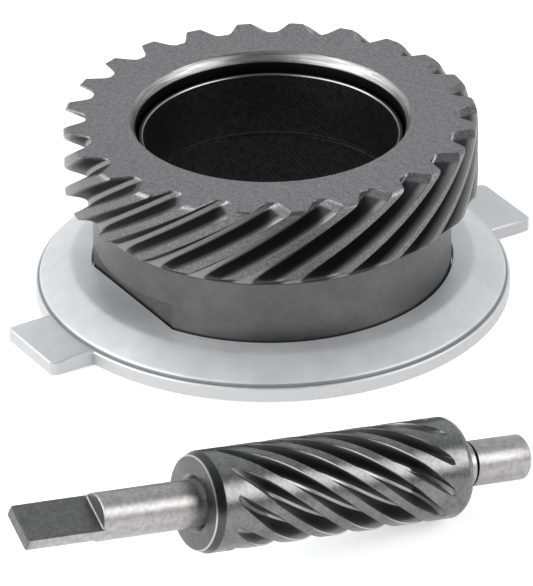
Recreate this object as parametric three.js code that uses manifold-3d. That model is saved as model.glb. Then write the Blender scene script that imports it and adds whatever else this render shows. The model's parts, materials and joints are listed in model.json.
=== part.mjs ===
// Crossed-helical worm gear set: a ring gear on its drive plate, and the worm that
// turns with it, laid in front of them. Millimetres, +Z up, floor at z = 0.
import * as THREE from 'three';
import { mergeVertices } from 'three/addons/utils/BufferGeometryUtils.js';
import Module from 'manifold-3d';

const wasm = await Module();
wasm.setup();

const DEG = Math.PI / 180;
const FIT_GAP = 0.3;

// Gear pair: shafts cross at 90 degrees, both members are right-handed.
const NORMAL_MODULE = 1.0;
const GEAR_TEETH = 24;
const GEAR_HELIX = 57 * DEG;
const WORM_STARTS = 10;
const WORM_HELIX = 33 * DEG;

// Ring gear, heights measured from its lower end face.
const GEAR_HEIGHT = 21.45;
const GEAR_PITCH_R = (GEAR_TEETH * NORMAL_MODULE) / (2 * Math.cos(GEAR_HELIX));
const GEAR_TIP_R = GEAR_PITCH_R + NORMAL_MODULE;
const GEAR_ROOT_R = GEAR_PITCH_R - 1.5 * NORMAL_MODULE;
const TEETH_BOTTOM = 13.2;
const LOWER_TAPER = 2.2;
const TIP_CHAMFER = 0.6;
const GEAR_PHASE = 4.7 * DEG;
const COLLAR_R = 20.05;
const SHOULDER_HEIGHT = 6.7;
const FLAT_DISTANCE = 18.05;
const GEAR_BORE_R = 15.05;
const BORE_CHAMFER_R = 15.65;
const BORE_CHAMFER_HEIGHT = 1.15;

// Bush inside the gear's bore.
const BUSH_INNER_R = 14.15;
const BUSH_BOTTOM = 0.5;
const BUSH_TOP = 19.3;
const BUSH_CHAMFER = 0.3;

// Drive plate: a dished sheet washer with a double-D hole and two ears.
const KEY_ANGLE = 31 * DEG;
const SHEET = 1.65;
const PLATE_R = 26.63;
const STEP_R = 26.2;
const STEP_HEIGHT = 2.05;
const DISH_R = 22.75;
const DISH_HEIGHT = 3.9;
const EAR_REACH = 31.4;
const EAR_WIDTH = 10;

// Worm sleeve and the ground pin through it, lengths along the worm's axis.
const WORM_TIP_R = 5.43;
const WORM_SCALE = WORM_TIP_R / ((WORM_STARTS / (2 * Math.cos(WORM_HELIX)) + 1) * NORMAL_MODULE);
const WORM_ROOT_R = WORM_TIP_R - 2.25 * NORMAL_MODULE * WORM_SCALE;
const WORM_LENGTH = 31.1;
const NEAR_CHAMFER = { along: 1.0, inward: 0.42 };
const FAR_CHAMFER = { along: 0.6, inward: 0.34 };
const THREAD_START = 2.5;
const THREAD_END = 2.3;
const THREAD_RUNOUT = 4.6;
const WORM_PHASE = 26 * DEG;
const RECESS_R = 3.1;
const RECESS_DEPTH = 0.6;
const SHAFT_R = 2.55;
const STUB_R = 2.45;
const TANG_CHAMFER = 0.12;
const STUB_CHAMFER = 0.4;
const SHAFT_LENGTH = 20.6;
const STUB_LENGTH = 9.1;
const NECK_START = 2.05;
const NECK_WIDTH = 0.3;
const NECK_DEPTH = 0.25;
const TANG_LENGTH = 8.8;
const TANG_THICKNESS = 1.45;
const TANG_ROLL = 23 * DEG;

// Layout: the origin is under the middle of the whole set's box.
const GEAR_Y = 25.044;
const WORM_END = new THREE.Vector3(18.35, GEAR_Y - 50.0, 5.3);
const WORM_YAW = 28.7 * DEG;
const WORM_DIP = 8.7 * DEG;

const RING_SEGMENTS = 72;
const BORE_SEGMENTS = 48;
const PIN_SEGMENTS = 32;

const COLORS = {
  gear: 0x7d787a,
  bush: 0x2b2b2d,
  plate: 0xd5dadd,
  sleeve: 0x4b4d4c,
  pin: 0xb9b5b2,
};

// ---- closed meshes and solids -------------------------------------------------

function toSolid(geometry) {
  const bare = geometry.clone();
  bare.deleteAttribute('normal');
  bare.deleteAttribute('uv');
  const merged = mergeVertices(bare, 1e-5);
  const index = Array.from(merged.index.array);
  const triangles = [];
  for (let i = 0; i < index.length; i += 3) {
    const [a, b, c] = index.slice(i, i + 3);
    if (a !== b && b !== c && c !== a) {
      triangles.push(a, b, c);
    }
  }
  const build = (triVerts) => new wasm.Manifold(new wasm.Mesh({
    numProp: 3,
    vertProperties: new Float32Array(merged.attributes.position.array),
    triVerts: new Uint32Array(triVerts),
  }));
  const solid = build(triangles);
  return solid.volume() > 0 ? solid : build(triangles.reverse());
}

function toMesh(name, solid, color, roughness, metalness) {
  const { vertProperties, triVerts } = solid.getMesh();
  const geometry = new THREE.BufferGeometry();
  geometry.setAttribute('position', new THREE.BufferAttribute(new Float32Array(vertProperties), 3));
  geometry.setIndex(new THREE.BufferAttribute(new Uint32Array(triVerts), 1));
  geometry.computeVertexNormals();
  const mesh = new THREE.Mesh(geometry, new THREE.MeshStandardMaterial({ color, roughness, metalness }));
  mesh.name = name;
  return mesh;
}

// A turned shape about +Z from [radius, height] pairs.
function turned(pairs, segments) {
  const points = pairs.map(([radius, height]) => new THREE.Vector2(radius, height));
  return new THREE.LatheGeometry(points, segments).rotateX(Math.PI / 2);
}

// A turned solid between two heights whose radius is constant.
function turnedDisc(radius, bottom, top, segments) {
  return toSolid(turned([[0, bottom], [radius, bottom], [radius, top], [0, top]], segments));
}

// Turns a shape made about +Z so that it lies along +X.
function alongX(geometry) {
  return geometry.rotateX(-Math.PI / 2).rotateZ(-Math.PI / 2);
}

// ---- helical teeth --------------------------------------------------------------

// One tooth over a pitch from -0.5 to 0.5: turn is the share of the pitch, depth
// runs from 0 at the tip circle to 1 at the root circle.
const GEAR_TOOTH = [
  { turn: -0.15, depth: 0 },
  { turn: 0.15, depth: 0 },
  { turn: 0.24, depth: 0.42 },
  { turn: 0.37, depth: 1 },
  { turn: 0.63, depth: 1 },
  { turn: 0.76, depth: 0.42 },
];

const WORM_TOOTH = [
  { turn: -0.16, depth: 0 },
  { turn: 0.16, depth: 0 },
  { turn: 0.25, depth: 0.45 },
  { turn: 0.38, depth: 1 },
  { turn: 0.62, depth: 1 },
  { turn: 0.75, depth: 0.45 },
];

// Skins a stack of toothed sections about +Z. Each station gives its height, the
// twist there, its tip radius and how deep the gaps are below it.
function toothedBar(count, tooth, stations) {
  const ringSize = count * tooth.length;
  const positions = [];
  for (const { height, twist, tipR, gap } of stations) {
    for (let k = 0; k < count; k += 1) {
      for (const { turn, depth } of tooth) {
        const angle = twist + ((k + turn) * 2 * Math.PI) / count;
        const radius = tipR - gap * depth;
        positions.push(radius * Math.cos(angle), radius * Math.sin(angle), height);
      }
    }
  }
  const bottomCentre = stations.length * ringSize;
  const topCentre = bottomCentre + 1;
  positions.push(0, 0, stations[0].height, 0, 0, stations.at(-1).height);
  const index = [];
  for (let s = 0; s + 1 < stations.length; s += 1) {
    for (let i = 0; i < ringSize; i += 1) {
      const a = s * ringSize + i;
      const b = s * ringSize + ((i + 1) % ringSize);
      index.push(a, b, b + ringSize, a, b + ringSize, a + ringSize);
    }
  }
  const top = bottomCentre - ringSize;
  for (let i = 0; i < ringSize; i += 1) {
    const next = (i + 1) % ringSize;
    index.push(bottomCentre, next, i, topCentre, top + i, top + next);
  }
  const geometry = new THREE.BufferGeometry();
  geometry.setAttribute('position', new THREE.Float32BufferAttribute(positions, 3));
  geometry.setIndex(index);
  return geometry;
}

// ---- ring gear --------------------------------------------------------------------

function gearBlank() {
  const twistPerHeight = Math.tan(GEAR_HELIX) / GEAR_PITCH_R;
  const fullGap = GEAR_TIP_R - GEAR_ROOT_R;
  const steps = 6;
  const rimTop = GEAR_HEIGHT - TIP_CHAMFER;
  const stations = [
    { height: 0, twist: GEAR_PHASE, tipR: COLLAR_R, gap: 0 },
    { height: TEETH_BOTTOM - LOWER_TAPER, twist: GEAR_PHASE, tipR: COLLAR_R, gap: 0 },
  ];
  for (let i = 0; i <= steps; i += 1) {
    const height = TEETH_BOTTOM + ((rimTop - TEETH_BOTTOM) * i) / steps;
    const twist = GEAR_PHASE + (height - TEETH_BOTTOM) * twistPerHeight;
    stations.push({ height, twist, tipR: GEAR_TIP_R, gap: fullGap });
  }
  stations.push({
    height: GEAR_HEIGHT,
    twist: GEAR_PHASE + (GEAR_HEIGHT - TEETH_BOTTOM) * twistPerHeight,
    tipR: GEAR_TIP_R - TIP_CHAMFER,
    gap: fullGap - TIP_CHAMFER,
  });
  return toSolid(toothedBar(GEAR_TEETH, GEAR_TOOTH, stations));
}

// The two slabs that the double-D flats remove, from the floor up to a height.
function flatCutters(distance, height) {
  const depth = COLLAR_R * 2;
  const slab = new THREE.BoxGeometry(depth, COLLAR_R * 3, height + 1);
  const cutters = [0, Math.PI].map((turn) => {
    const placed = slab.clone();
    placed.translate(distance + depth / 2, 0, (height + 1) / 2 - 1);
    return toSolid(placed.rotateZ(KEY_ANGLE + turn));
  });
  return cutters[0].add(cutters[1]);
}

function ringGear() {
  const chamferBottom = GEAR_HEIGHT - BORE_CHAMFER_HEIGHT;
  const slope = (BORE_CHAMFER_R - GEAR_BORE_R) / BORE_CHAMFER_HEIGHT;
  const bore = toSolid(turned([
    [0, -1],
    [GEAR_BORE_R, -1],
    [GEAR_BORE_R, chamferBottom],
    [BORE_CHAMFER_R + slope, GEAR_HEIGHT + 1],
    [0, GEAR_HEIGHT + 1],
  ], BORE_SEGMENTS));
  const solid = gearBlank().subtract(flatCutters(FLAT_DISTANCE, SHOULDER_HEIGHT)).subtract(bore);
  return toMesh('ring_gear', solid, COLORS.gear, 0.5, 0.9);
}

function boreBush() {
  const outerR = GEAR_BORE_R - FIT_GAP;
  const solid = toSolid(turned([
    [BUSH_INNER_R, BUSH_BOTTOM],
    [outerR, BUSH_BOTTOM],
    [outerR, BUSH_TOP],
    [BUSH_INNER_R + BUSH_CHAMFER, BUSH_TOP],
    [BUSH_INNER_R, BUSH_TOP - BUSH_CHAMFER],
    [BUSH_INNER_R, BUSH_BOTTOM],
  ], BORE_SEGMENTS));
  return toMesh('bore_bush', solid, COLORS.bush, 0.6, 0.6);
}

// ---- drive plate --------------------------------------------------------------------

function plateDisc() {
  const underDish = DISH_HEIGHT - SHEET;
  return toSolid(turned([
    [0, underDish],
    [DISH_R - 0.6, underDish],
    [STEP_R - 1.6, 0],
    [PLATE_R, 0],
    [PLATE_R, SHEET],
    [STEP_R, SHEET],
    [STEP_R, STEP_HEIGHT],
    [DISH_R, DISH_HEIGHT],
    [0, DISH_HEIGHT],
  ], RING_SEGMENTS));
}

// The strip that both ears are cut from, less the middle that the disc fills.
function plateEars() {
  const strip = new THREE.BoxGeometry(EAR_REACH * 2, EAR_WIDTH, SHEET);
  const ears = toSolid(strip.translate(0, 0, SHEET / 2).rotateZ(KEY_ANGLE));
  return ears.subtract(turnedDisc(STEP_R - 0.8, -1, SHEET + 1, RING_SEGMENTS));
}

function drivePlate() {
  const hole = turnedDisc(COLLAR_R + FIT_GAP, -1, DISH_HEIGHT + 1, RING_SEGMENTS)
    .subtract(flatCutters(FLAT_DISTANCE + FIT_GAP, DISH_HEIGHT + 2));
  const solid = plateDisc().add(plateEars()).subtract(hole);
  return toMesh('drive_plate', solid, COLORS.plate, 0.35, 0.9);
}

// ---- worm ---------------------------------------------------------------------------

// How far the gaps are cut at a distance along the sleeve: the cutter enters and
// leaves gradually at both ends of the thread.
function threadEngagement(along) {
  const fromStart = (along - THREAD_START) / THREAD_RUNOUT;
  const fromEnd = (WORM_LENGTH - THREAD_END - along) / THREAD_RUNOUT;
  const share = THREE.MathUtils.clamp(Math.min(fromStart, fromEnd), 0, 1);
  return share ** 0.8;
}

function wormBlank() {
  const lead = (Math.PI * WORM_STARTS * NORMAL_MODULE * WORM_SCALE) / Math.sin(WORM_HELIX);
  const fullGap = WORM_TIP_R - WORM_ROOT_R;
  const steps = 22;
  const first = THREAD_START;
  const last = WORM_LENGTH - THREAD_END;
  const twistAt = (height) => WORM_PHASE + ((height - first) * 2 * Math.PI) / lead;
  const plain = (height, tipR, twist) => ({ height, twist, tipR, gap: 0 });
  const stations = [
    plain(0, WORM_TIP_R - NEAR_CHAMFER.inward, twistAt(first)),
    plain(NEAR_CHAMFER.along, WORM_TIP_R, twistAt(first)),
  ];
  for (let i = 0; i <= steps; i += 1) {
    const height = first + ((last - first) * i) / steps;
    const gap = fullGap * threadEngagement(height);
    stations.push({ height, twist: twistAt(height), tipR: WORM_TIP_R, gap });
  }
  stations.push(
    plain(WORM_LENGTH - FAR_CHAMFER.along, WORM_TIP_R, twistAt(last)),
    plain(WORM_LENGTH, WORM_TIP_R - FAR_CHAMFER.inward, twistAt(last)),
  );
  return toSolid(alongX(toothedBar(WORM_STARTS, WORM_TOOTH, stations)));
}

function wormSleeve() {
  const boreR = SHAFT_R + FIT_GAP;
  const bore = toSolid(alongX(turned([
    [0, -1],
    [RECESS_R, -1],
    [RECESS_R, 0],
    [boreR, RECESS_DEPTH],
    [boreR, WORM_LENGTH + 1],
    [0, WORM_LENGTH + 1],
  ], PIN_SEGMENTS)));
  return toMesh('worm_sleeve', wormBlank().subtract(bore), COLORS.sleeve, 0.4, 0.9);
}

// The slabs beside the tang, so that a flat tongue is left at the pin's driven end.
function tangCutters() {
  const slab = new THREE.BoxGeometry(TANG_LENGTH + 1, SHAFT_R * 3, SHAFT_R * 2);
  const cutters = [1, -1].map((side) => {
    const placed = slab.clone();
    const middle = -SHAFT_LENGTH - 1 + (TANG_LENGTH + 1) / 2;
    placed.translate(middle, 0, side * (TANG_THICKNESS / 2 + SHAFT_R));
    return toSolid(placed.rotateX(TANG_ROLL));
  });
  return cutters[0].add(cutters[1]);
}

function wormPin() {
  const left = -SHAFT_LENGTH;
  const right = WORM_LENGTH + STUB_LENGTH;
  const neck = WORM_LENGTH + NECK_START;
  const bar = toSolid(alongX(turned([
    [0, left],
    [SHAFT_R - TANG_CHAMFER, left],
    [SHAFT_R, left + TANG_CHAMFER],
    [SHAFT_R, neck],
    [STUB_R - NECK_DEPTH, neck],
    [STUB_R - NECK_DEPTH, neck + NECK_WIDTH],
    [STUB_R, neck + NECK_WIDTH],
    [STUB_R, right - STUB_CHAMFER],
    [STUB_R - STUB_CHAMFER, right],
    [0, right],
  ], PIN_SEGMENTS)));
  return toMesh('worm_pin', bar.subtract(tangCutters()), COLORS.pin, 0.3, 0.95);
}

// ---- layout ---------------------------------------------------------------------------

const gearStack = new THREE.Group();
gearStack.position.set(0, GEAR_Y, 0);
gearStack.add(ringGear(), boreBush(), drivePlate());

// The worm's own axis is local +X, from the tang to the stub; its far end face is
// centred on WORM_END.
const worm = new THREE.Group();
worm.rotation.set(0, WORM_DIP, WORM_YAW, 'ZYX');
worm.updateMatrix();
const wormOffset = new THREE.Vector3(-WORM_LENGTH, 0, 0).applyEuler(worm.rotation);
worm.position.copy(WORM_END).add(wormOffset);
worm.add(wormSleeve(), wormPin());

const wormGearSet = new THREE.Group();
wormGearSet.add(gearStack, worm);

export default wormGearSet;
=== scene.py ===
"""Worm gear set: dark ring gear on its zinc drive plate, with the worm and its pin in front."""
import bisect
import json
import math

import bmesh
import bpy
from mathutils import Matrix, Vector


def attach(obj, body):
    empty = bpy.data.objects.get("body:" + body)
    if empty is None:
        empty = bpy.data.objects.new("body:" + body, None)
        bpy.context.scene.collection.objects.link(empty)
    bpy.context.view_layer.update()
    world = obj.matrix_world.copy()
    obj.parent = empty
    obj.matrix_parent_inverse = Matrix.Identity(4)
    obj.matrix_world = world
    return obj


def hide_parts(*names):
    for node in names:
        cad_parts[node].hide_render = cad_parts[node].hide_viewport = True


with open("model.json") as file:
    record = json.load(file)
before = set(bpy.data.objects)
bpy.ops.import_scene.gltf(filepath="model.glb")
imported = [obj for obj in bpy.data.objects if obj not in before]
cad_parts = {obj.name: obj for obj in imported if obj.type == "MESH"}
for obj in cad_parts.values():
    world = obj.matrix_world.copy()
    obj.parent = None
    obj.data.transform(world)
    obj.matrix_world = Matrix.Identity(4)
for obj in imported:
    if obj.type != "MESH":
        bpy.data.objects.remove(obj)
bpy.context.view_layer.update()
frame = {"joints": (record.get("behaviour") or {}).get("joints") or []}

MM = 0.001
DEG = math.pi / 180
TURN = 2 * math.pi

JOINTS = {joint["name"]: joint for joint in frame["joints"]}
GEAR_AXIS = Vector(JOINTS["gear_spin"]["pos_m"])
WORM_END = Vector(JOINTS["worm_spin"]["pos_m"])
WORM_AXIS = Vector(JOINTS["worm_spin"]["axis"]).normalized()
WORM_YAW = math.atan2(WORM_AXIS.y, WORM_AXIS.x)
WORM_DIP = -math.asin(WORM_AXIS.z)

# Ring gear, in millimetres.
TEETH = 24
HELIX = 57 * DEG
PITCH_R = TEETH / (2 * math.cos(HELIX))
TIP_R = PITCH_R + 1.0
ROOT_R = PITCH_R - 1.5
GEAR_TOP = 21.45
TEETH_BOTTOM = 13.2
TAPER_BOTTOM = 11.0
TIP_CHAMFER = 0.6
GEAR_PHASE = 4.7 * DEG
COLLAR_R = 20.05
SHOULDER = 6.7
FLAT = 18.05
BORE_R = 15.05
BORE_MOUTH_R = 15.65
BORE_MOUTH_DEPTH = 1.15
KEY_ANGLE = 31 * DEG

# Bush, in millimetres.
BUSH_R = 14.15
BUSH_OUTER_R = 14.75
BUSH_BOTTOM = 0.5
BUSH_TOP = 19.3
SEAT_HEIGHT = 11.73

# Worm, in millimetres along its own axis from the sleeve's left face.
STARTS = 10
WORM_TIP_R = 5.43
WORM_SCALE = WORM_TIP_R / (STARTS / (2 * math.cos(33 * DEG)) + 1)
WORM_DEPTH = 2.25 * WORM_SCALE
WORM_LENGTH = 31.1
WORM_LEAD = math.pi * STARTS * WORM_SCALE / math.sin(33 * DEG)
WORM_PHASE = 26 * DEG
THREAD_START = 2.5
THREAD_STOP = WORM_LENGTH - 2.3
THREAD_RUNOUT = 4.6
SHAFT_R = 2.55
STUB_R = 2.45
SHAFT_LENGTH = 20.6
STUB_LENGTH = 9.1
NECK_START = 2.05
TANG_LENGTH = 8.8
TANG_THICKNESS = 1.45
TANG_ROLL = 23 * DEG


# ---- meshes ------------------------------------------------------------------

def loft(name, rings, closed, place=None, sharp=28):
    """A mesh skinned over equal rings of points in mm. closed joins the last ring to the first."""
    size = len(rings[0])
    mesh = bpy.data.meshes.new(name)
    bm = bmesh.new()
    verts = [[bm.verts.new(Vector(p) * MM) for p in ring] for ring in rings]
    pairs = list(zip(verts, verts[1:]))
    if closed:
        pairs.append((verts[-1], verts[0]))
    for low, high in pairs:
        for i in range(size):
            j = (i + 1) % size
            bm.faces.new((low[i], low[j], high[j], high[i]))
    bmesh.ops.remove_doubles(bm, verts=bm.verts, dist=2e-6)
    bmesh.ops.dissolve_degenerate(bm, edges=bm.edges, dist=1e-7)
    bmesh.ops.recalc_face_normals(bm, faces=bm.faces)
    if place is not None:
        bm.transform(place)
    bm.to_mesh(mesh)
    bm.free()
    mesh.shade_smooth()
    mesh.set_sharp_from_angle(angle=sharp * DEG)
    obj = bpy.data.objects.new(name, mesh)
    bpy.context.scene.collection.objects.link(obj)
    return obj


def circle(radius, height, angles):
    """A ring about +Z. radius is a number or a function of the angle."""
    if not callable(radius):
        return [(radius * math.cos(a), radius * math.sin(a), height) for a in angles]
    return [(radius(a) * math.cos(a), radius(a) * math.sin(a), height) for a in angles]


def snapped(angles, corners):
    """The angles with the nearest one moved onto each corner."""
    angles = sorted(a % TURN for a in angles)
    for corner in corners:
        corner %= TURN
        i = bisect.bisect(angles, corner) % len(angles)
        before = (corner - angles[i - 1]) % TURN
        after = (angles[i] - corner) % TURN
        angles[i - 1 if before < after else i] = corner
    return sorted(angles)


def double_d(radius, flat):
    """The radius of a circle with two flats, as a function of the angle."""
    def at(angle):
        across = abs(math.cos(angle - KEY_ANGLE))
        return min(radius, flat / max(across, 1e-6))
    return at


def d_corners(radius, flat):
    half = math.acos(flat / radius)
    return [KEY_ANGLE + side + sign * half for side in (0, math.pi) for sign in (1, -1)]


def inset(ring, distance, height):
    """A flat ring moved inward by a distance, at a new height."""
    size = len(ring)
    out = []
    for i, point in enumerate(ring):
        before, after = Vector(ring[i - 1]), Vector(ring[(i + 1) % size])
        along = (after - before).normalized()
        out.append((point[0] - along.y * distance, point[1] + along.x * distance, height))
    return out


# ---- ring gear ---------------------------------------------------------------

class Thread:
    """A toothed outline: lands, then gaps that narrow to a point where they run out."""

    def __init__(self, count, land, floor, curve, flank_steps):
        self.count, self.land, self.floor, self.curve = count, land, floor, curve
        self.flank_steps = flank_steps
        self.size = count * len(self.turns(0))

    def share(self, turn):
        """How deep the flank is, as a share of the full depth, half a pitch at a time."""
        along = min(max((turn - self.land) / (self.floor - self.land), 0), 1)
        return math.sin(along * math.pi / 2) ** self.curve

    def turns(self, lift):
        """Places across one pitch and the depth at each, the gap lifted by a share."""
        edge = self.land
        if lift > 0:
            along = math.asin(min(lift, 1) ** (1 / self.curve)) / (math.pi / 2)
            edge += (self.floor - self.land) * along
        edge = min(edge, 0.498)
        half = [(edge * t, 0) for t in (0, 0.35, 0.7, 0.88, 0.96)]
        top = self.share(edge) if lift > 0 else 0
        for i in range(self.flank_steps + 1):
            turn = edge + (0.5 - edge) * (i / self.flank_steps) ** 1.15
            half.append((turn, max(self.share(turn) - top, 0)))
        half[5] = (edge, 0.012 if lift < 0.9 else 0)
        left = [(1 - turn, depth) for turn, depth in reversed(half[1:-1])]
        return half + left

    def ring(self, twist, height, tip_r, depth, lift=0.0):
        across = self.turns(lift)
        ring = []
        for k in range(self.count):
            for turn, share in across:
                angle = twist + (k + turn) * TURN / self.count
                radius = tip_r - depth * share
                ring.append((radius * math.cos(angle), radius * math.sin(angle), height))
        return ring

    def angles(self, twist, lift=0.0):
        return [twist + (k + turn) * TURN / self.count
                for k in range(self.count) for turn, _ in self.turns(lift)]


def ring_gear():
    teeth = Thread(TEETH, 0.14, 0.43, 1.15, 11)
    twist_rate = math.tan(HELIX) / PITCH_R
    plain = teeth.angles(GEAR_PHASE - (TEETH_BOTTOM - TAPER_BOTTOM) * twist_rate)
    keyed = snapped(plain, d_corners(COLLAR_R, FLAT))
    first = min(range(len(keyed)),
                key=lambda i: abs((keyed[i] - plain[0] + math.pi) % TURN - math.pi))
    keyed = keyed[first:] + keyed[:first]
    outline = double_d(COLLAR_R, FLAT)

    def ledge(angle):
        return max(outline(angle), COLLAR_R - 0.12)

    rings = [
        circle(BORE_R, 0.3, keyed),
        circle(BORE_R + 0.3, 0, keyed),
        circle(lambda a: outline(a) - 0.2, 0, keyed),
        circle(outline, 0.2, keyed),
        circle(outline, SHOULDER, keyed),
        circle(ledge, SHOULDER, keyed),
        [(COLLAR_R * math.cos(a), COLLAR_R * math.sin(a), SHOULDER + COLLAR_R - ledge(a))
         for a in keyed],
        circle(COLLAR_R, TAPER_BOTTOM - 0.15, plain),
        circle(COLLAR_R + 0.04, TAPER_BOTTOM + 0.05, plain),
    ]
    # The lands start on a cone. The slots run out through it.
    taper = (TIP_R - COLLAR_R) / (TEETH_BOTTOM - TAPER_BOTTOM)
    top = GEAR_TOP - TIP_CHAMFER
    cone_steps, body_steps = 8, 36
    heights = [TAPER_BOTTOM + 0.12 + (TEETH_BOTTOM - TAPER_BOTTOM - 0.12) * i / cone_steps
               for i in range(cone_steps)]
    heights += [TEETH_BOTTOM + (top - TEETH_BOTTOM) * i / body_steps
                for i in range(body_steps + 1)]
    for height in heights:
        tip = min(COLLAR_R + taper * (height - TAPER_BOTTOM), TIP_R)
        twist = GEAR_PHASE + (height - TEETH_BOTTOM) * twist_rate
        rings.append(teeth.ring(twist, height, tip, max(tip - ROOT_R, 0)))

    # The upper corners are rounded over, then every edge is broken.
    edge = 0.13
    for angle in (17 * DEG, 34 * DEG, math.asin(1 - edge / TIP_CHAMFER)):
        height = top + TIP_CHAMFER * math.sin(angle)
        tip = TIP_R - TIP_CHAMFER * (1 - math.cos(angle))
        twist = GEAR_PHASE + (height - TEETH_BOTTOM) * twist_rate
        last = teeth.ring(twist, height, tip, tip - ROOT_R)
        rings.append(last)
    rings.append(inset(last, edge, GEAR_TOP))
    top_twist = (GEAR_TOP - TAPER_BOTTOM) * twist_rate
    spun = [a + top_twist for a in plain]
    slope = (BORE_MOUTH_R - BORE_R) / BORE_MOUTH_DEPTH
    rings += [
        circle(18.2, GEAR_TOP, spun),
        circle(BORE_MOUTH_R + 0.07, GEAR_TOP, spun),
        circle(BORE_MOUTH_R - slope * 0.08, GEAR_TOP - 0.08, spun),
        circle(BORE_R + 0.04, GEAR_TOP - BORE_MOUTH_DEPTH + 0.05, spun),
        circle(BORE_R, GEAR_TOP - BORE_MOUTH_DEPTH - 0.05, spun),
    ]
    # Going down the bore, the rings unwind to the angles of the lowest one.
    unwind_steps = 16
    start = GEAR_TOP - BORE_MOUTH_DEPTH - 0.05
    for i in range(1, unwind_steps):
        share = i / unwind_steps
        angles = [a + top_twist * (1 - share) for a in plain]
        rings.append(circle(BORE_R, start * (1 - share) + 0.3 * share, angles))
    return loft("ring_gear_body", rings, True, Matrix.Translation(GEAR_AXIS))


def bore_bush():
    angles = [TURN * i / 160 for i in range(160)]
    inner, outer, top = BUSH_R, BUSH_OUTER_R, BUSH_TOP
    profile = [
        (inner, BUSH_BOTTOM + 0.3), (inner + 0.2, BUSH_BOTTOM), (outer - 0.2, BUSH_BOTTOM),
        (outer, BUSH_BOTTOM + 0.2), (outer, top - 0.15), (outer - 0.15, top),
        (inner + 0.15, top), (inner + 0.1, top - 0.03), (inner + 0.02, top - 0.16),
        (inner, top - 0.24), (inner, SEAT_HEIGHT + 0.22), (inner + 0.12, SEAT_HEIGHT + 0.13),
        (inner + 0.12, SEAT_HEIGHT - 0.13), (inner, SEAT_HEIGHT - 0.23), (inner, 6),
    ]
    rings = [circle(radius, height, angles) for radius, height in profile]
    return loft("bore_bush_ring", rings, True, Matrix.Translation(GEAR_AXIS))


# ---- drive plate -------------------------------------------------------------

SHEET = 1.65
DISH_TOP = 3.9
DISH_R = 22.75
STEP_R = 26.2
STEP_TOP = 2.05
PLATE_R = 26.63
EAR_REACH = 31.4
EAR_HALF = 5.0
EAR_CORNER = 0.5


def plate_edge(shrink):
    """The plate's outline with its two ears, less a small distance."""
    disc, reach, half = PLATE_R - shrink, EAR_REACH - shrink, EAR_HALF - shrink

    def at(angle):
        a = (angle - KEY_ANGLE + math.pi / 2) % math.pi - math.pi / 2
        c, s = abs(math.cos(a)), abs(math.sin(a))
        if s * disc >= half:
            return disc
        by_end = reach / c
        by_side = half / max(s, 1e-9)
        corner = (reach + half - EAR_CORNER) / (c + s)
        return max(min(by_end, by_side, corner), disc)
    return at


def drive_plate():
    hole_r, hole_flat = COLLAR_R + 0.12, FLAT + 0.12
    edge_angles = []
    for side in (0, math.pi):
        for sign in (1, -1):
            edge_angles += [KEY_ANGLE + side + sign * math.asin(EAR_HALF / PLATE_R),
                            KEY_ANGLE + side + sign * math.atan2(EAR_HALF, EAR_REACH - EAR_CORNER),
                            KEY_ANGLE + side + sign * math.atan2(EAR_HALF - EAR_CORNER, EAR_REACH)]
    angles = snapped([TURN * i / 720 for i in range(720)],
                     edge_angles + d_corners(hole_r, hole_flat))
    outer, near = plate_edge(0), plate_edge(0.14)
    under = DISH_TOP - SHEET
    hole = double_d(hole_r, hole_flat)
    hole_near = double_d(hole_r + 0.12, hole_flat + 0.12)
    cone = (DISH_TOP - STEP_TOP) / (STEP_R - DISH_R)
    rings = [
        circle(hole, DISH_TOP - 0.12, angles),
        circle(hole_near, DISH_TOP, angles),
        circle(21.6, DISH_TOP, angles),
        circle(DISH_R - 0.35, DISH_TOP, angles),
        circle(DISH_R - 0.1, DISH_TOP - 0.03, angles),
        circle(DISH_R + 0.25, DISH_TOP - 0.25 * cone - 0.02, angles),
        circle(24.4, DISH_TOP - (24.4 - DISH_R) * cone, angles),
        circle(STEP_R - 0.35, STEP_TOP + 0.35 * cone, angles),
        circle(STEP_R - 0.08, STEP_TOP - 0.01, angles),
        circle(STEP_R, STEP_TOP - 0.14, angles),
        circle(STEP_R + 0.02, SHEET + 0.04, angles),
        circle(STEP_R + 0.08, SHEET, angles),
        circle(near, SHEET, angles),
        circle(outer, SHEET - 0.14, angles),
        circle(outer, 0.14, angles),
        circle(near, 0, angles),
        circle(STEP_R - 1.6, 0, angles),
        circle(DISH_R - 0.6, under, angles),
        circle(hole_near, under, angles),
        circle(hole, under + 0.12, angles),
    ]
    return loft("drive_plate_body", rings, True, Matrix.Translation((GEAR_AXIS.x, GEAR_AXIS.y, 0)))


# ---- worm --------------------------------------------------------------------

WORM_TURN = Matrix.Rotation(WORM_YAW, 4, "Z") @ Matrix.Rotation(WORM_DIP, 4, "Y")
WORM_ORIGIN = WORM_END - WORM_AXIS * (WORM_LENGTH * MM)
WORM_PLACE = Matrix.Translation(WORM_ORIGIN) @ WORM_TURN


def along_x(ring):
    return [(z, -x, -y) for x, y, z in ring]


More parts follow.
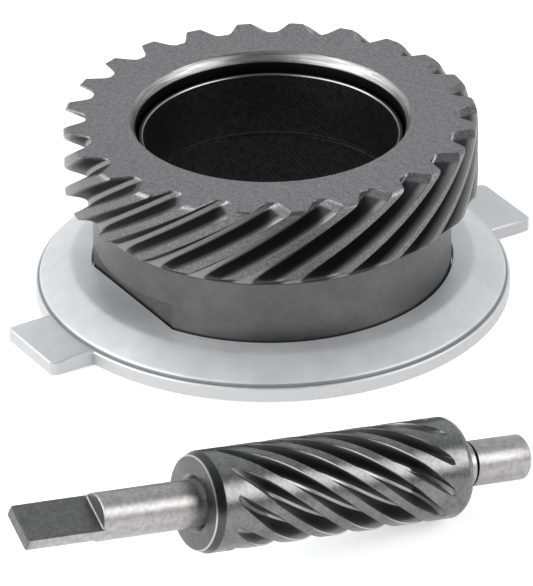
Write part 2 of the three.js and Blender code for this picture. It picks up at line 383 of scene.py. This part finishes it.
def worm_sleeve():
    thread = Thread(STARTS, 0.17, 0.44, 1.2, 13)
    bore = SHAFT_R + 0.04

    def twist(s):
        clipped = min(max(s, THREAD_START), THREAD_STOP)
        return WORM_PHASE + (clipped - THREAD_START) * TURN / WORM_LEAD

    def plain(radius, s, lift=1.0):
        return circle(radius, s, thread.angles(twist(s), lift))

    rings = [
        plain(3.08, 0.06), plain(3.14, 0), plain(4.91, 0), plain(5.01, 0.03),
        plain(5.06, 0.12), plain(5.38, 0.9), plain(WORM_TIP_R - 0.01, 0.98),
        plain(WORM_TIP_R, 1.08), plain(WORM_TIP_R, 1.8),
    ]
    steps = 130
    for i in range(steps + 1):
        s = THREAD_START + (THREAD_STOP - THREAD_START) * i / steps
        share = min((s - THREAD_START) / THREAD_RUNOUT, (THREAD_STOP - s) / THREAD_RUNOUT, 1)
        lift = 1 - max(share, 0) ** 0.8
        rings.append(thread.ring(twist(s), s, WORM_TIP_R, WORM_DEPTH, lift))
    end = WORM_LENGTH
    rings += [
        plain(WORM_TIP_R, end - 0.8), plain(WORM_TIP_R, end - 0.66),
        plain(WORM_TIP_R - 0.03, end - 0.56), plain(5.14, end - 0.09),
        plain(5.09, end - 0.02), plain(5.0, end), plain(bore + 0.15, end),
        plain(bore, end - 0.15),
    ]
    rings += [plain(bore, s) for s in range(28, 0, -1)]
    rings.append(plain(bore + 0.02, 0.5))
    return loft("worm_sleeve_body", [along_x(r) for r in rings], True, WORM_PLACE, 24)


def worm_pin():
    half = TANG_THICKNESS / 2
    left, right = -SHAFT_LENGTH, WORM_LENGTH + STUB_LENGTH
    shoulder = left + TANG_LENGTH
    # Angles in the ring's own sense; the tang's faces point along TANG_ROLL from local +Z.
    normal = -math.pi / 2 + TANG_ROLL
    corner = math.asin(half / SHAFT_R)
    corners = [normal + math.pi / 2 + side + sign * corner
               for side in (0, math.pi) for sign in (1, -1)]
    angles = snapped([TURN * i / 144 for i in range(144)], corners)

    def tang(radius, thick):
        def at(angle):
            return min(radius, thick / max(abs(math.cos(angle - normal)), 1e-6))
        return at

    neck = WORM_LENGTH + NECK_START
    rings = [
        circle(0, left, angles),
        circle(tang(SHAFT_R - 0.17, half - 0.1), left, angles),
        circle(tang(SHAFT_R - 0.03, half), left + 0.14, angles),
        circle(tang(SHAFT_R, half), left + 4, angles),
        circle(tang(SHAFT_R, half), shoulder - 0.12, angles),
        circle(tang(SHAFT_R, half + 0.12), shoulder, angles),
        circle(lambda a: max(tang(SHAFT_R, half + 0.12)(a), SHAFT_R - 0.1), shoulder, angles),
        circle(SHAFT_R, shoulder + 0.1, angles),
    ]
    for s in (-9, -6, -3, 0, 10, 20, 30, neck - 0.06):
        rings.append(circle(SHAFT_R, s, angles))
    rings += [
        circle(SHAFT_R - 0.05, neck, angles), circle(STUB_R - 0.25, neck + 0.02, angles),
        circle(STUB_R - 0.25, neck + 0.28, angles), circle(STUB_R - 0.04, neck + 0.3, angles),
        circle(STUB_R, neck + 0.36, angles), circle(STUB_R, right - 3, angles),
        circle(STUB_R, right - 0.46, angles), circle(STUB_R - 0.04, right - 0.36, angles),
        circle(STUB_R - 0.37, right - 0.04, angles), circle(STUB_R - 0.43, right, angles),
        circle(1.2, right, angles), circle(0, right, angles),
    ]
    return loft("worm_pin_shaft", [along_x(r) for r in rings], False, WORM_PLACE, 24)


# ---- materials ---------------------------------------------------------------

class Shader:
    """A node material under construction."""

    def __init__(self, name):
        self.material = bpy.data.materials.new(name)
        self.material.use_nodes = True
        self.tree = self.material.node_tree
        self.tree.nodes.clear()
        self.output = self.tree.nodes.new("ShaderNodeOutputMaterial")
        self.surface = self.tree.nodes.new("ShaderNodeBsdfPrincipled")
        self.link(self.surface.outputs[0], self.output.inputs["Surface"])
        self.place = self.tree.nodes.new("ShaderNodeTexCoord").outputs["Object"]

    def link(self, a, b):
        self.tree.links.new(a, b)

    def set(self, socket, value):
        if isinstance(value, bpy.types.NodeSocket):
            self.link(value, socket)
        else:
            socket.default_value = value

    def math(self, operation, *values):
        node = self.tree.nodes.new("ShaderNodeMath")
        node.operation = operation
        for socket, value in zip(node.inputs, values):
            self.set(socket, value)
        return node.outputs[0]

    def centred(self, location, rotation=(0, 0, 0)):
        """Object coordinates seen from a placed frame, in metres."""
        node = self.tree.nodes.new("ShaderNodeMapping")
        node.vector_type = "TEXTURE"
        node.inputs["Location"].default_value = location
        node.inputs["Rotation"].default_value = rotation
        self.link(self.place, node.inputs["Vector"])
        return node.outputs[0]

    def parts(self, vector):
        node = self.tree.nodes.new("ShaderNodeSeparateXYZ")
        self.link(vector, node.inputs[0])
        return node.outputs[0], node.outputs[1], node.outputs[2]

    def length(self, a, b):
        return self.math("SQRT", self.math("ADD", self.math("MULTIPLY", a, a),
                                           self.math("MULTIPLY", b, b)))

    def ramp(self, value, low, high, start=0.0, stop=1.0):
        """value mapped smoothly from low..high onto start..stop."""
        node = self.tree.nodes.new("ShaderNodeMapRange")
        node.interpolation_type = "SMOOTHSTEP"
        self.link(value, node.inputs["Value"])
        for key, number in (("From Min", low), ("From Max", high),
                            ("To Min", start), ("To Max", stop)):
            node.inputs[key].default_value = number
        return node.outputs[0]

    def noise(self, vector, scale, detail=4.0, roughness=0.6):
        node = self.tree.nodes.new("ShaderNodeTexNoise")
        self.link(vector, node.inputs["Vector"])
        node.inputs["Scale"].default_value = scale
        node.inputs["Detail"].default_value = detail
        node.inputs["Roughness"].default_value = roughness
        return node.outputs["Fac"]

    def stretched(self, vector, scale):
        node = self.tree.nodes.new("ShaderNodeMapping")
        node.inputs["Scale"].default_value = scale
        self.link(vector, node.inputs["Vector"])
        return node.outputs[0]

    def mix(self, factor, a, b):
        node = self.tree.nodes.new("ShaderNodeMix")
        node.data_type = "RGBA"
        self.set(node.inputs["Factor"], factor)
        self.set(node.inputs[6], a)
        self.set(node.inputs[7], b)
        return node.outputs[2]

    def bump(self, height, strength, distance):
        node = self.tree.nodes.new("ShaderNodeBump")
        node.inputs["Strength"].default_value = strength
        node.inputs["Distance"].default_value = distance
        self.link(height, node.inputs["Height"])
        return node.outputs[0]

    def finish(self, colour, roughness, metallic=1.0, normal=None):
        self.set(self.surface.inputs["Base Color"], colour)
        self.set(self.surface.inputs["Roughness"], roughness)
        self.set(self.surface.inputs["Metallic"], metallic)
        if normal is not None:
            self.link(normal, self.surface.inputs["Normal"])
        return self.material


def grey(value, tint=(1, 1, 1)):
    return tuple(value * t for t in tint) + (1,)


def gear_steel():
    s = Shader("gear_steel")
    local = s.centred(GEAR_AXIS)
    x, y, z = s.parts(local)
    radius = s.length(x, y)
    grain = s.noise(local, 4400, 4)
    cloud = s.noise(local, 260, 5, 0.7)
    speck = s.ramp(grain, 0.32, 0.68)
    top = s.ramp(z, (GEAR_TOP - 0.75) * MM, (GEAR_TOP - 0.5) * MM)
    below_top = s.math("SUBTRACT", 1.0, top)
    land = s.ramp(radius, (TIP_R - 0.34) * MM, (TIP_R - 0.03) * MM)
    # Painted highlight along the upper edges of the lands.
    edge = s.math("MULTIPLY", s.ramp(radius, (TIP_R - 0.3) * MM, (TIP_R - 0.14) * MM),
                  s.ramp(radius, (TIP_R - 0.09) * MM, (TIP_R - 0.008) * MM, 1.0, 0.0))
    in_teeth = s.ramp(z, (TAPER_BOTTOM + 0.1) * MM, (TAPER_BOTTOM + 0.5) * MM)
    outside = s.ramp(radius, 19.0 * MM, 19.6 * MM)
    # Painted highlight: a thin light line along the slot floor.
    floor_highlight = s.ramp(radius, (ROOT_R + 0.02) * MM, (ROOT_R + 0.14) * MM, 1.0, 0.0)
    tooth_zone = s.math("MULTIPLY", s.math("MULTIPLY", in_teeth, outside), below_top)
    slot = s.math("MULTIPLY", tooth_zone, s.math("SUBTRACT", 1.0, land))
    # Painted shade: the bore wall is painted near-black.
    bore = s.ramp(radius, (BORE_R + 0.02) * MM, (BORE_R + 0.1) * MM, 1.0, 0.0)
    patch = s.ramp(cloud, 0.3, 0.7)
    colour = s.mix(patch, grey(0.1, (1, 0.985, 1)), grey(0.13, (1, 0.97, 0.98)))
    colour = s.mix(s.math("MULTIPLY", land, tooth_zone), colour,
                   s.mix(speck, grey(0.1, (1, 0.98, 0.97)), grey(0.2, (1, 0.985, 0.98))))
    # Painted shade on the slot flanks, darkest deep in the slots, and painted light on the upper
    # flanks near the lands.
    deep = s.ramp(radius, (TIP_R - 1.0) * MM, (TIP_R - 0.3) * MM)
    flank = s.mix(deep, grey(0.06, (1, 1, 1.06)), grey(0.28))
    colour = s.mix(slot, colour, s.mix(floor_highlight, flank, grey(0.24)))
    # Painted highlight on the land edges.
    colour = s.mix(s.math("MULTIPLY", edge, tooth_zone), colour, grey(0.42, (1, 0.99, 0.98)))
    colour = s.mix(top, colour, s.mix(speck, grey(0.14, (1, 0.975, 1)), grey(0.26, (1, 0.975, 1))))
    turned = s.ramp(s.noise(s.stretched(local, (1, 1, 26)), 220, 3), 0.35, 0.65)
    mouth = s.ramp(radius, (BORE_MOUTH_R - 0.02) * MM, (BORE_MOUTH_R + 0.04) * MM, 1.0, 0.0)
    colour = s.mix(mouth, colour, s.mix(turned, grey(0.2), grey(0.4)))
    # Painted shade in the bore.
    colour = s.mix(bore, colour, grey(0.02))
    rough = s.math("ADD", 0.3, s.math("MULTIPLY", grain, 0.18))
    rough = s.math("ADD", rough, s.math("MULTIPLY", slot, 0.1))
    return s.finish(colour, rough, 1.0, s.bump(grain, 0.3, 0.00004))


def bush_steel():
    s = Shader("bush_steel")
    local = s.centred(GEAR_AXIS)
    x, y, z = s.parts(local)
    radius = s.length(x, y)
    angle = s.math("ARCTAN2", y, x)
    lay = s.math("SINE", s.math("ADD", s.math("MULTIPLY", angle, 260.0),
                                s.math("MULTIPLY", z, 9000.0)))
    grain = s.noise(local, 1500, 4)
    # Painted highlight on the rounded inner top edge of the bush.
    rim_highlight = s.math("MULTIPLY", s.ramp(z, (BUSH_TOP - 0.2) * MM, (BUSH_TOP - 0.1) * MM),
                 s.ramp(radius, (BUSH_R + 0.12) * MM, (BUSH_R + 0.23) * MM, 1.0, 0.0))
    mark = s.ramp(s.math("ADD", s.math("MULTIPLY", lay, 0.3), grain), 0.45, 0.8)
    dark = s.mix(mark, grey(0.014), grey(0.055, (1, 1, 1.08)))
    # Painted highlight on the upper edge of the seat groove.
    seat_highlight = s.math("MULTIPLY", s.ramp(z, (SEAT_HEIGHT + 0.11) * MM, (SEAT_HEIGHT + 0.17) * MM),
                  s.ramp(z, (SEAT_HEIGHT + 0.23) * MM, (SEAT_HEIGHT + 0.31) * MM, 1.0, 0.0))
    dark = s.mix(seat_highlight, dark, grey(0.1))
    colour = s.mix(rim_highlight, dark, grey(0.3))
    rough = s.math("SUBTRACT", 0.5, s.math("MULTIPLY", rim_highlight, 0.22))
    return s.finish(colour, rough, 1.0, s.bump(grain, 0.3, 0.00003))


def zinc_plate():
    s = Shader("zinc_plate")
    local = s.centred((GEAR_AXIS.x, GEAR_AXIS.y, 0))
    grain = s.noise(local, 1800, 5)
    cloud = s.noise(local, 220, 5, 0.7)
    colour = s.mix(s.ramp(cloud, 0.3, 0.7), grey(0.62, (0.96, 0.99, 1.01)),
                   grey(0.7, (0.97, 1.0, 1.01)))
    x, y, z = s.parts(local)
    radius = s.length(x, y)
    # Painted shade: a dark line at the step round the raised dish.
    step_shade = s.math("MULTIPLY", s.ramp(radius, (STEP_R - 0.1) * MM, (STEP_R - 0.02) * MM),
                  s.ramp(radius, (STEP_R + 0.1) * MM, (STEP_R + 0.2) * MM, 1.0, 0.0))
    step_shade = s.math("MULTIPLY", step_shade, s.ramp(z, 1.0 * MM, 1.3 * MM))
    colour = s.mix(s.math("MULTIPLY", step_shade, 0.75), colour, grey(0.09))
    # Painted shade on the sheet's outer side walls and underside.
    wall_shade = s.ramp(z, 1.4 * MM, 1.6 * MM, 1.0, 0.0)
    colour = s.mix(wall_shade, colour, grey(0.5, (0.98, 1, 1.01)))
    rough = s.math("ADD", 0.4, s.math("MULTIPLY", cloud, 0.12))
    return s.finish(colour, rough, 0.5, s.bump(grain, 0.18, 0.00003))


def worm_frame(s):
    local = s.centred(WORM_ORIGIN, WORM_TURN.to_euler())
    x, y, z = s.parts(local)
    return local, x, s.length(y, z)


def worm_steel():
    s = Shader("worm_steel")
    local, x, radius = worm_frame(s)
    grain = s.noise(local, 2400, 5)
    cloud = s.noise(local, 420, 5, 0.7)
    speck = s.ramp(s.math("ADD", s.math("MULTIPLY", grain, 0.5), s.math("MULTIPLY", cloud, 0.5)),
                   0.35, 0.65)
    land = s.ramp(radius, (WORM_TIP_R - 0.3) * MM, (WORM_TIP_R - 0.03) * MM)
    # Painted highlight along both edges of every land.
    edge = s.math("MULTIPLY", s.ramp(radius, (WORM_TIP_R - 0.2) * MM, (WORM_TIP_R - 0.1) * MM),
                  s.ramp(radius, (WORM_TIP_R - 0.06) * MM, (WORM_TIP_R - 0.006) * MM, 1.0, 0.0))
    root = WORM_TIP_R - WORM_DEPTH
    floor_highlight = s.ramp(radius, (root + 0.01) * MM, (root + 0.1) * MM, 1.0, 0.0)
    threaded = s.math("MULTIPLY", s.ramp(x, (THREAD_START - 0.1) * MM, THREAD_START * MM),
                      s.ramp(x, THREAD_STOP * MM, (THREAD_STOP + 0.1) * MM, 1.0, 0.0))
    body = s.mix(speck, grey(0.12), grey(0.2))
    # Painted shade deeper in the grooves, and a painted highlight line along the groove floor.
    deep = s.ramp(radius, (WORM_TIP_R - 0.8) * MM, (WORM_TIP_R - 0.2) * MM)
    groove = s.mix(floor_highlight, s.mix(deep, grey(0.12, (1, 1, 0.97)), grey(0.2)), grey(0.3))
    gap = s.math("MULTIPLY", threaded, s.math("SUBTRACT", 1.0, land))
    colour = s.mix(gap, body, groove)
    # Painted highlight on the land edges, kept off the thread run-outs.
    full_depth = s.math("MULTIPLY",
                        s.ramp(x, (THREAD_START + 1.4) * MM, (THREAD_START + 2.8) * MM),
                        s.ramp(x, (THREAD_STOP - 2.8) * MM, (THREAD_STOP - 1.4) * MM, 1.0, 0.0))
    colour = s.mix(s.math("MULTIPLY", edge, full_depth), colour, grey(0.6))
    face = s.ramp(x, 0.1 * MM, 0.16 * MM, 1.0, 0.0)
    # Painted highlight on the rounded outer edge of the end face.
    rim_highlight = s.math("MULTIPLY", face, s.ramp(radius, 4.9 * MM, 4.96 * MM))
    # Painted highlight in the countersink round the shaft.
    mouth = s.math("MULTIPLY", s.ramp(radius, 3.12 * MM, 3.16 * MM, 1.0, 0.0),
                   s.ramp(x, 1.0 * MM, 1.2 * MM, 1.0, 0.0))
    # Painted shade on the chamfer between the end face and the thread.
    chamfer_shade = s.math("MULTIPLY", s.ramp(x, 0.14 * MM, 0.2 * MM),
                  s.ramp(x, 0.9 * MM, 1.0 * MM, 1.0, 0.0))
    colour = s.mix(face, colour, s.mix(speck, grey(0.09, (1, 0.97, 1)), grey(0.14, (1, 0.97, 1))))
    colour = s.mix(chamfer_shade, colour, grey(0.07))
    colour = s.mix(rim_highlight, colour, grey(0.45))
    colour = s.mix(mouth, colour, grey(0.3))
    rough = s.math("ADD", 0.22, s.math("MULTIPLY", grain, 0.16))
    return s.finish(colour, rough, 1.0, s.bump(grain, 0.25, 0.00003))


def pin_steel():
    s = Shader("pin_steel")
    local, x, radius = worm_frame(s)
    lay = s.noise(s.stretched(local, (9, 1, 1)), 900, 4)
    grain = s.noise(local, 1900, 4)
    flat = s.math("MULTIPLY", s.ramp(x, -11.9 * MM, -11.78 * MM, 1.0, 0.0),
                  s.ramp(radius, 2.5 * MM, 2.54 * MM, 1.0, 0.0))
    # Painted shade: the undercut groove at the neck is painted near-black.
    neck = s.math("MULTIPLY", s.ramp(x, (WORM_LENGTH + 2.0) * MM, (WORM_LENGTH + 2.06) * MM),
                  s.ramp(radius, 2.3 * MM, 2.42 * MM, 1.0, 0.0))
    neck = s.math("MULTIPLY", neck, s.ramp(x, (WORM_LENGTH + 2.34) * MM,
                                           (WORM_LENGTH + 2.38) * MM, 1.0, 0.0))
    colour = s.mix(s.ramp(grain, 0.3, 0.7), grey(0.3, (1, 0.97, 0.965)), grey(0.4, (1, 0.98, 0.975)))
    colour = s.mix(flat, colour, s.mix(s.ramp(grain, 0.3, 0.7), grey(0.12), grey(0.17)))
    colour = s.mix(neck, colour, grey(0.02))
    rough = s.math("ADD", 0.34, s.math("MULTIPLY", lay, 0.14))
    return s.finish(colour, rough, 1.0, s.bump(lay, 0.12, 0.00002))


# ---- pieces ------------------------------------------------------------------

PIECES = [
    (ring_gear, gear_steel, "gear", "ring_gear"),
    (bore_bush, bush_steel, "bush", "bore_bush"),
    (drive_plate, zinc_plate, "plate", "drive_plate"),
    (worm_sleeve, worm_steel, "worm", "worm_sleeve"),
    (worm_pin, pin_steel, "worm", "worm_pin"),
]
for build, material, body, node in PIECES:
    piece = build()
    piece.data.materials.append(material())
    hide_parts(node)
    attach(piece, body)


# ---- floor, light and camera -------------------------------------------------

BACK_LIGHT = 0.95
TOP_LIGHT = 0.45
FLOOR_GLOW = 0.5


def floor():
    mesh = bpy.data.meshes.new("floor")
    half = 3.0
    mesh.from_pydata([(-half, -half, 0), (half, -half, 0), (half, half, 0), (-half, half, 0)],
                     [], [(0, 1, 2, 3)])
    obj = bpy.data.objects.new("floor", mesh)
    bpy.context.scene.collection.objects.link(obj)
    s = Shader("floor_paper")
    tone = s.mix(s.ramp(s.noise(s.place, 90, 3), 0.3, 0.7), grey(0.9), grey(0.92))
    s.surface.inputs["Emission Color"].default_value = grey(1.0)
    s.surface.inputs["Emission Strength"].default_value = FLOOR_GLOW
    mesh.materials.append(s.finish(tone, 0.9, 0.0))
    obj.location.z = -0.0002


LAMP_AIM = Vector((0, 0, 0.008))


def softbox(name, centre, size, power):
    lamp = bpy.data.lights.new(name, "AREA")
    lamp.shape = "RECTANGLE"
    lamp.size, lamp.size_y = size
    lamp.energy = power
    obj = bpy.data.objects.new(name, lamp)
    obj.location = centre
    obj.rotation_euler = (LAMP_AIM - Vector(centre)).to_track_quat("-Z", "Y").to_euler()
    bpy.context.scene.collection.objects.link(obj)


def sky():
    """A room that is bright behind the object and overhead, and dark above the camera."""
    world = bpy.data.worlds.new("studio")
    bpy.context.scene.world = world
    world.use_nodes = True
    tree = world.node_tree
    direction = tree.nodes.new("ShaderNodeTexCoord").outputs["Generated"]
    split = tree.nodes.new("ShaderNodeSeparateXYZ")
    tree.links.new(direction, split.inputs[0])

    def rise(socket, low, high, top):
        node = tree.nodes.new("ShaderNodeMapRange")
        node.interpolation_type = "SMOOTHSTEP"
        tree.links.new(socket, node.inputs["Value"])
        for key, number in (("From Min", low), ("From Max", high), ("To Min", 0.1), ("To Max", top)):
            node.inputs[key].default_value = number
        return node.outputs[0]

    brighter = tree.nodes.new("ShaderNodeMath")
    brighter.operation = "MAXIMUM"
    tree.links.new(rise(split.outputs[1], -0.15, 0.5, BACK_LIGHT), brighter.inputs[0])
    tree.links.new(rise(split.outputs[2], 0.89, 0.99, TOP_LIGHT), brighter.inputs[1])
    background = tree.nodes["Background"]
    background.inputs["Color"].default_value = grey(1.0, (0.97, 0.985, 1.0))
    tree.links.new(brighter.outputs[0], background.inputs["Strength"])


def light():
    sky()
    softbox("left_box", (-0.55, -0.2, 0.36), (0.9, 0.45), 5.5)
    softbox("right_box", (0.55, -0.2, 0.34), (0.5, 0.35), 2.6)


LENS = 439.95
CAMERA_PLACE = Vector((0, -0.6793, 0.38933))
HEADING, PITCH, ROLL = -0.0010344, 0.5061248, -0.0145121


def camera():
    """The camera in front of the gear and above it, in metres and radians."""
    lens = bpy.data.cameras.new("camera")
    lens.sensor_width = 36
    lens.lens = LENS
    lens.clip_start, lens.clip_end = 0.01, 20
    obj = bpy.data.objects.new("camera", lens)
    forward = Vector((math.sin(HEADING) * math.cos(PITCH), math.cos(HEADING) * math.cos(PITCH),
                      -math.sin(PITCH)))
    right = forward.cross(Vector((0, 0, 1))).normalized()
    up = right.cross(forward)
    right, up = (math.cos(ROLL) * right + math.sin(ROLL) * up,
                 math.cos(ROLL) * up - math.sin(ROLL) * right)
    turn = Matrix((right, up, -forward)).transposed().to_4x4()
    obj.matrix_world = Matrix.Translation(CAMERA_PLACE) @ turn
    bpy.context.scene.collection.objects.link(obj)
    bpy.context.scene.camera = obj


floor()
light()
camera()
bpy.context.scene.view_settings.view_transform = "Standard"
